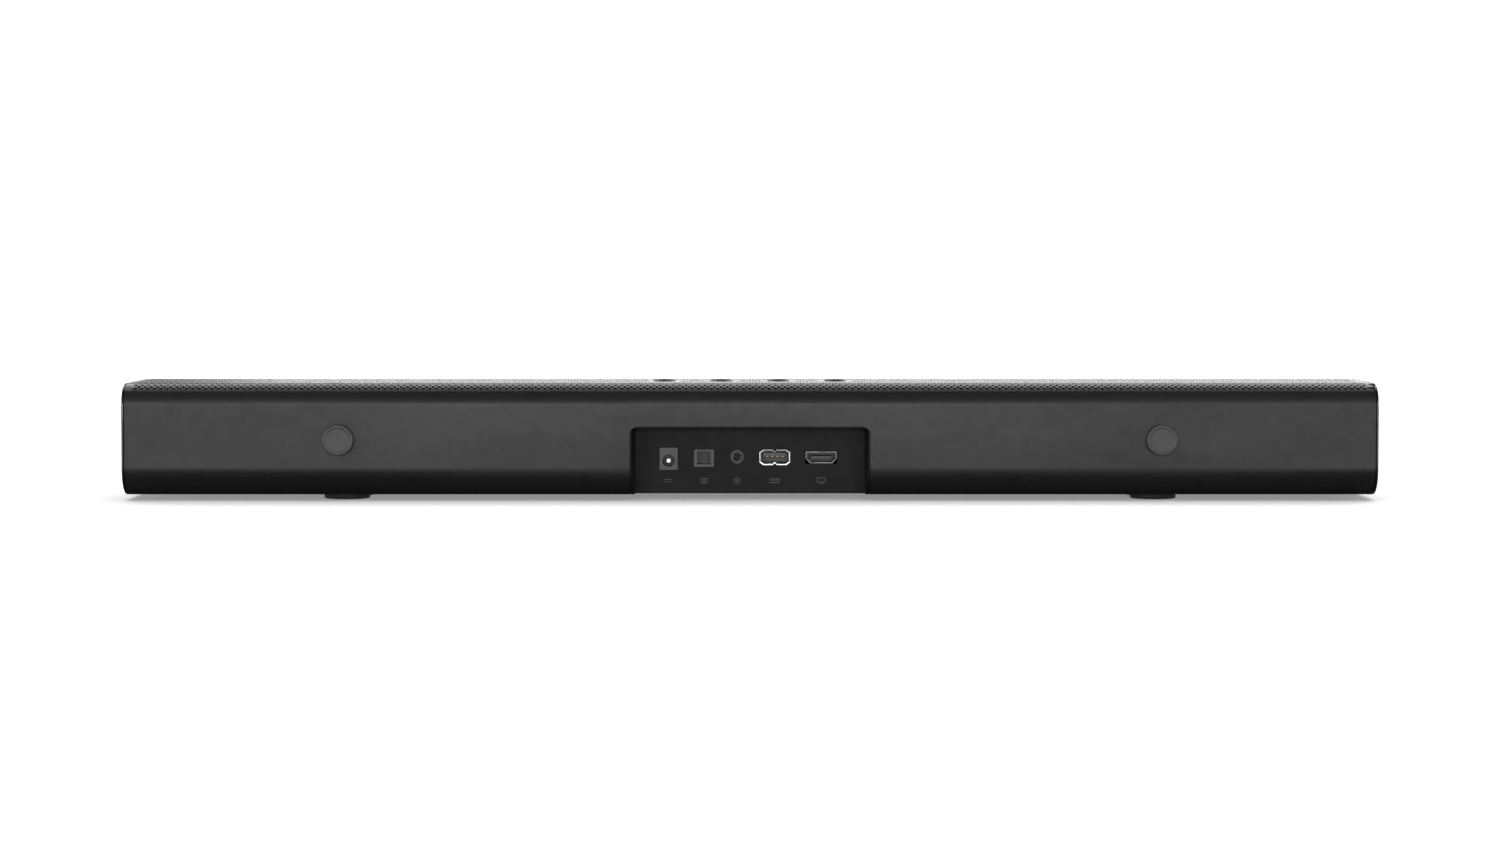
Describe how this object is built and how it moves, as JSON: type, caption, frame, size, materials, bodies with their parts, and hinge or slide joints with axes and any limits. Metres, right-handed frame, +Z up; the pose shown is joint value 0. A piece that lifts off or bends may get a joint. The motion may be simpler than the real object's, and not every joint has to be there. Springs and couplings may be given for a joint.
{
  "type": "soundbar",
  "caption": "Compact two-channel soundbar with a wrap-round perforated grille, glossy end caps, a rear cable bay with sockets, top push buttons and wall-mount threads.",
  "frame": {"origin": "on the ground, midway across the overall width and depth", "axes": "+Z up, the front faces -Y, +X is to the right as seen from the front"},
  "size_m": [0.61, 0.08, 0.058],
  "materials": {
    "cover_plastic": "fine spark-eroded matte black",
    "chassis_plastic": "plain moulded black",
    "grille_steel": "satin black powder coat",
    "black_cloth": "acoustic cloth",
    "gloss_black": "piano gloss black",
    "panel_plastic": "fine matte black",
    "foot_rubber": "matte",
    "plug_rubber": "soft matte",
    "brass": "plain",
    "button_plastic": "satin black",
    "white_plastic": "natural",
    "switch_metal": "pressed",
    "board_green": "solder mask",
    "jack_plastic": "glass-filled moulding",
    "pin_metal": "plated",
    "lens_glass": "polished",
    "bright_steel": "bright nickel plate",
    "dull_steel": "dull plate",
    "black_aluminium": "black anodised",
    "chip_epoxy": "moulded epoxy",
    "can_aluminium": "sleeved can",
    "clear_pipe": "clear",
    "ferrite": "ground ferrite",
    "cone_paper": "pressed paper",
    "surround_rubber": "satin",
    "spider_cloth": "resin-dipped cloth",
    "copper": "enamelled winding",
    "gasket_foam": "foam",
    "lead_pvc": "insulated",
    "screw_steel": "zinc plate"
  },
  "bodies": {
    "housing": {"rear_cover_left": "cover_plastic", "rear_cover_right": "cover_plastic", "rear_cover_over_bay": "cover_plastic", "rear_cover_underside": "cover_plastic", "front_chassis": "chassis_plastic", "grille": "grille_steel", "grille_cloth": "black_cloth", "end_cap_left": "gloss_black", "end_cap_right": "gloss_black", "port_panel": "panel_plastic", "foot_front_left": "foot_rubber", "foot_front_right": "foot_rubber", "foot_rear_left": "foot_rubber", "foot_rear_right": "foot_rubber", "wall_inserts": "brass", "button_switches": "switch_metal", "button_board": "board_green", "dc_jack": "jack_plastic", "dc_jack_pin": "pin_metal", "optical_jack": "jack_plastic", "optical_lens": "lens_glass", "audio_jack": "jack_plastic", "data_socket_shell": "bright_steel", "data_socket_tongue": "jack_plastic", "data_socket_contacts": "brass", "video_socket_shell": "dull_steel", "video_socket_tongue": "jack_plastic", "main_board": "board_green", "amp_heatsink": "black_aluminium", "main_chips": "chip_epoxy", "capacitors": "can_aluminium", "wireless_module": "dull_steel", "indicator_board": "board_green", "light_pipe": "clear_pipe", "surround_left": "surround_rubber", "spider_left": "spider_cloth", "surround_right": "surround_rubber", "spider_right": "spider_cloth", "driver_frames": "dull_steel", "driver_magnets": "ferrite", "driver_yokes": "dull_steel", "driver_gaskets": "gasket_foam", "speaker_leads": "lead_pvc", "housing_screws": "screw_steel", "driver_screws": "screw_steel", "board_screws": "screw_steel"},
    "power_button": {"button_power": "button_plastic", "switch_plunger_power": "white_plastic"},
    "source_button": {"button_source": "button_plastic", "switch_plunger_source": "white_plastic"},
    "volume_down_button": {"button_volume_down": "button_plastic", "switch_plunger_volume_down": "white_plastic"},
    "volume_up_button": {"button_volume_up": "button_plastic", "switch_plunger_volume_up": "white_plastic"},
    "plug_left": {"wall_plug_left": "plug_rubber"},
    "plug_right": {"wall_plug_right": "plug_rubber"},
    "moving_left": {"cone_left": "cone_paper", "voice_coil_left": "copper"},
    "moving_right": {"cone_right": "cone_paper", "voice_coil_right": "copper"}
  },
  "joints": [
    {"name": "power_press", "type": "slide", "parent": "housing", "child": "power_button", "axis": [0, 0, -1], "range_m": [0, 0.0005], "stiffness_N_per_m": 1000},
    {"name": "source_press", "type": "slide", "parent": "housing", "child": "source_button", "axis": [0, 0, -1], "range_m": [0, 0.0005], "stiffness_N_per_m": 1000},
    {"name": "volume_down_press", "type": "slide", "parent": "housing", "child": "volume_down_button", "axis": [0, 0, -1], "range_m": [0, 0.0005], "stiffness_N_per_m": 1000},
    {"name": "volume_up_press", "type": "slide", "parent": "housing", "child": "volume_up_button", "axis": [0, 0, -1], "range_m": [0, 0.0005], "stiffness_N_per_m": 1000},
    {"name": "plug_left_pull", "type": "slide", "parent": "housing", "child": "plug_left", "axis": [0, 1, 0], "range_m": [0, 0.04]},
    {"name": "plug_right_pull", "type": "slide", "parent": "housing", "child": "plug_right", "axis": [0, 1, 0], "range_m": [0, 0.04]},
    {"name": "cone_left_travel", "type": "slide", "parent": "housing", "child": "moving_left", "axis": [0, -1, 0], "range_m": [-0.002, 0.002], "stiffness_N_per_m": 800, "deforming": ["surround_left", "spider_left"]},
    {"name": "cone_right_travel", "type": "slide", "parent": "housing", "child": "moving_right", "axis": [0, -1, 0], "range_m": [-0.002, 0.002], "stiffness_N_per_m": 800, "deforming": ["surround_right", "spider_right"]}
  ]
}
